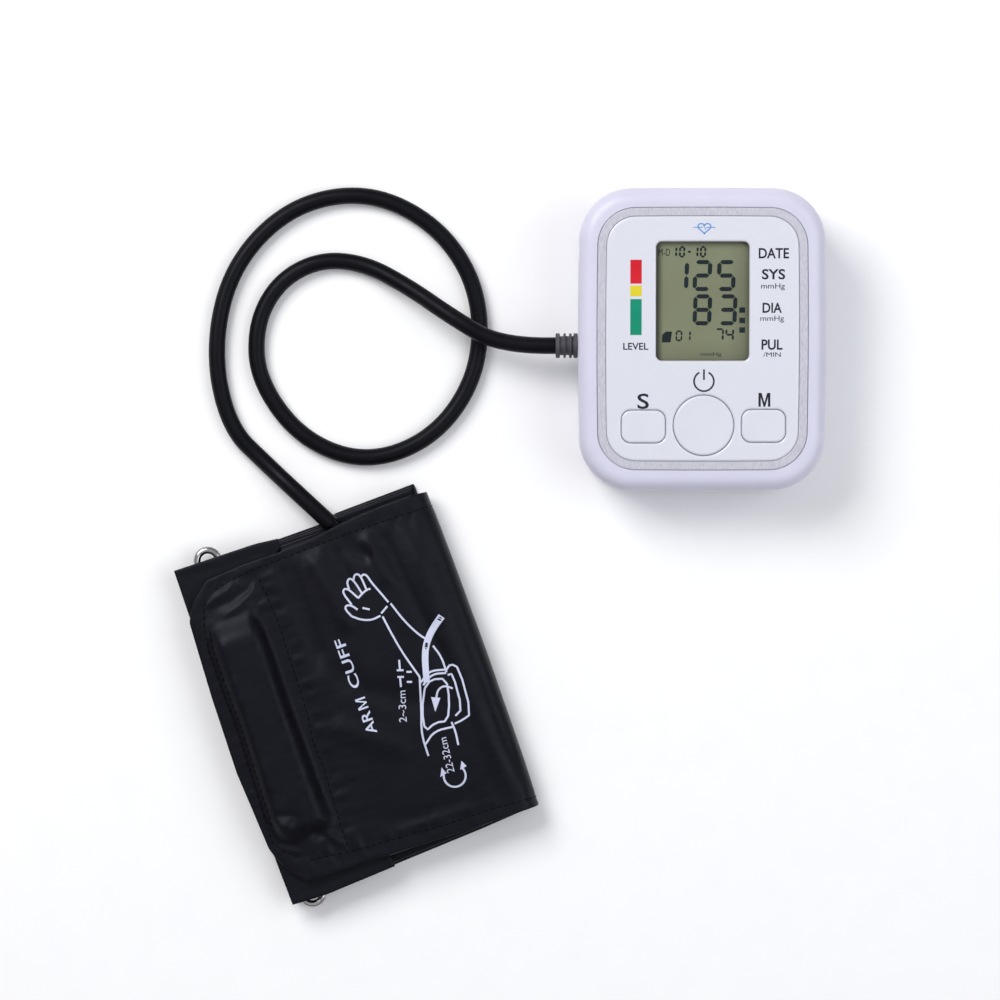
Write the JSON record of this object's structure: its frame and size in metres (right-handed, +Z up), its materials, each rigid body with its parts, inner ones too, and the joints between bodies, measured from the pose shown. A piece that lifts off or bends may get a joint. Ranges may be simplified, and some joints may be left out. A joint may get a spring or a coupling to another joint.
{
  "type": "upper arm blood pressure monitor",
  "caption": "Desktop blood pressure monitor with a rounded casing, display and three keys, joined by an air hose to a folded black arm cuff with a wire ring.",
  "frame": {"origin": "middle of the display unit's flat base, on the surface that the whole set lies on", "axes": "+Z up, +Y towards the top of the display, +X to the reader's right"},
  "size_m": [0.2716, 0.3031, 0.0444],
  "materials": {
    "casing_white": "satin",
    "panel_silver": "satin",
    "border_brushed": "brushed",
    "window_clear": "clear",
    "lcd_cell": "satin",
    "light_guide": "matte",
    "holder_white": "matte",
    "button_white": "satin",
    "board_green": "matte",
    "chip_black": "matte",
    "part_metal": "satin",
    "pump_black": "matte",
    "valve_white": "matte",
    "silicone": "matte",
    "screw_steel": "satin",
    "cell_jacket": "gloss",
    "spring_steel": "satin",
    "foot_rubber": "matte",
    "plug_grey": "matte",
    "nozzle_white": "matte",
    "hose_black": "satin",
    "port_black": "matte",
    "cuff_nylon": "satin",
    "loop_pile": "matte",
    "hook_tape": "matte",
    "bladder_rubber": "matte",
    "ring_chrome": "polished"
  },
  "bodies": {
    "monitor": {"rear_casing": "casing_white", "front_casing": "casing_white", "face_border": "border_brushed", "face_plate": "panel_silver", "display_window": "window_clear", "lcd_glass": "lcd_cell", "lcd_backlight": "light_guide", "lcd_holder": "holder_white", "main_board": "board_green", "tact_switches": "part_metal", "controller_chip": "chip_black", "board_parts": "part_metal", "buzzer": "chip_black", "pressure_sensor": "valve_white", "pump_motor": "part_metal", "pump_head": "pump_black", "exhaust_valve": "valve_white", "air_manifold": "valve_white", "inner_tubes": "silicone", "air_socket": "nozzle_white", "batteries": "cell_jacket", "battery_contacts": "spring_steel", "battery_springs": "spring_steel", "rubber_feet": "foot_rubber", "case_screws": "screw_steel"},
    "start_button": {"start_button": "button_white"},
    "set_button": {"set_button": "button_white"},
    "memory_button": {"memory_button": "button_white"},
    "battery_cover": {"battery_cover": "casing_white"},
    "cuff": {"plug_sleeve": "plug_grey", "plug_nozzle": "nozzle_white", "air_hose": "hose_black", "hose_port": "port_black", "cuff_band": "cuff_nylon", "air_bladder": "bladder_rubber", "loop_panel": "loop_pile", "ring_loop": "cuff_nylon", "cuff_fold": "cuff_nylon"},
    "cuff_flap": {"cuff_flap": "cuff_nylon", "hook_patch": "hook_tape"},
    "d_ring": {"d_ring": "ring_chrome"}
  },
  "joints": [
    {"name": "start_button_press", "type": "slide", "parent": "monitor", "child": "start_button", "axis": [0, 0.0785, -0.9969], "range_m": [0, 0.0008], "stiffness_N_per_m": 1500},
    {"name": "set_button_press", "type": "slide", "parent": "monitor", "child": "set_button", "axis": [0, 0.0785, -0.9969], "range_m": [0, 0.0008], "stiffness_N_per_m": 1500},
    {"name": "memory_button_press", "type": "slide", "parent": "monitor", "child": "memory_button", "axis": [0, 0.0785, -0.9969], "range_m": [0, 0.0008], "stiffness_N_per_m": 1500},
    {"name": "battery_cover_open", "type": "hinge", "parent": "monitor", "child": "battery_cover", "pos_m": [0, -0.003, 0], "axis": [1, 0, 0], "range_deg": [0, 70]},
    {"name": "air_plug_pull", "type": "slide", "parent": "monitor", "child": "cuff", "axis": [-1, 0, 0], "range_m": [0, 0.018]},
    {"name": "cuff_flap_open", "type": "hinge", "parent": "cuff", "child": "cuff_flap", "pos_m": [-0.09862, -0.13164, 0.00875], "axis": [-0.3371, 0.9415, 0], "range_deg": [0, 120], "deforming": ["cuff_fold"]},
    {"name": "d_ring_swing", "type": "hinge", "parent": "cuff", "child": "d_ring", "pos_m": [-0.18051, -0.16085, 0.0079], "axis": [-0.3007, 0.9537, 0], "range_deg": [0, 12]}
  ]
}
